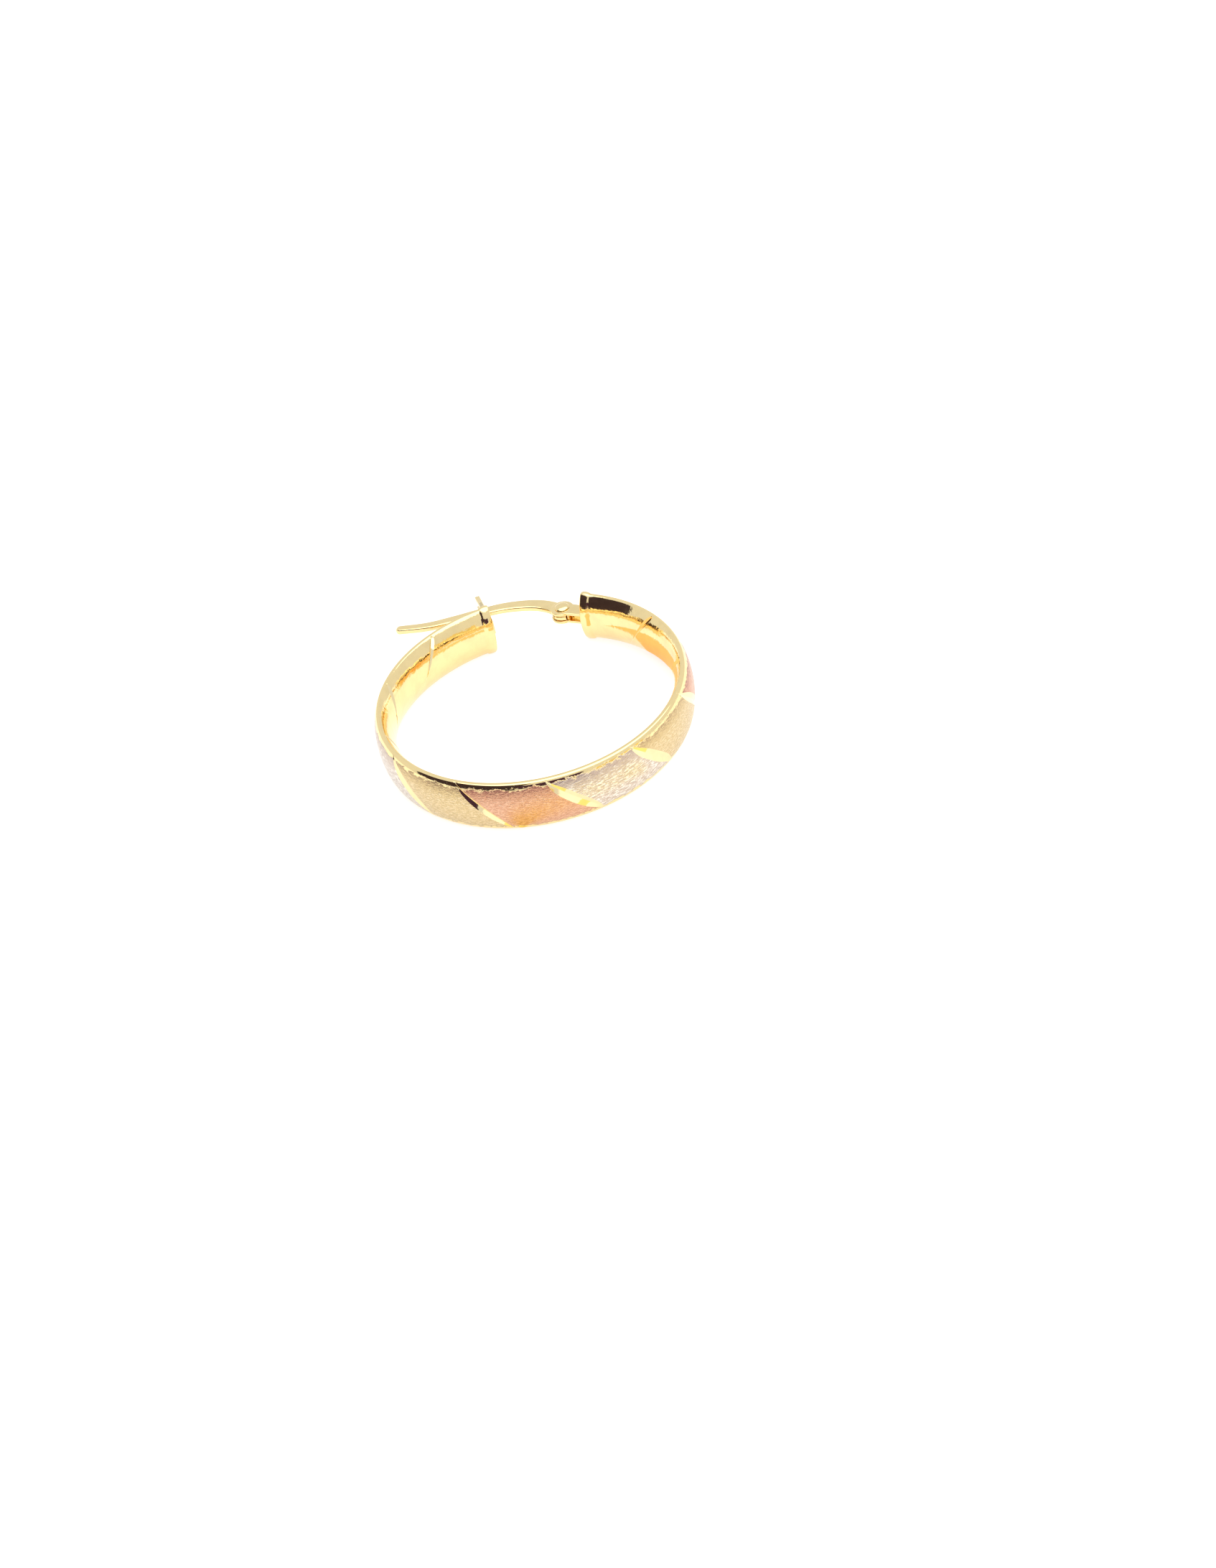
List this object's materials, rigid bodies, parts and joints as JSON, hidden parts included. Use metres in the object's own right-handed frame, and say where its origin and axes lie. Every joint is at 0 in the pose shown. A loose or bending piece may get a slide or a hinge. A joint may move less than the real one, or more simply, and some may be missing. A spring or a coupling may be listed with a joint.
{
  "type": "hinged hoop earring",
  "caption": "Hollow oval-tube hoop earring with slanting V cuts, satin panels in three gold colours and a hinged ear wire that snaps into a forked catch.",
  "frame": {"origin": "middle of the earring's box, on the surface that it lies on", "axes": "+Z along the hoop's axis, up as the earring lies on its side; +Y towards the gap for the ear lobe and the ear wire across it; +X from the catch towards the hinge"},
  "size_m": [0.025, 0.0278, 0.0045],
  "materials": {
    "yellow_gold": "18 carat yellow gold in mirror polish; between its cuts the hoop's outer face has satin panels in rose, white and yellow gold"
  },
  "bodies": {
    "hoop": {"hoop": "yellow_gold", "hinge_rivet": "yellow_gold"},
    "ear_wire": {"ear_wire": "yellow_gold"}
  },
  "joints": [
    {"name": "ear_wire_hinge", "type": "hinge", "parent": "hoop", "child": "ear_wire", "pos_m": [0.00204, 0.01062, 0.00224], "axis": [0, 0, -1], "range_deg": [0, 90]}
  ]
}
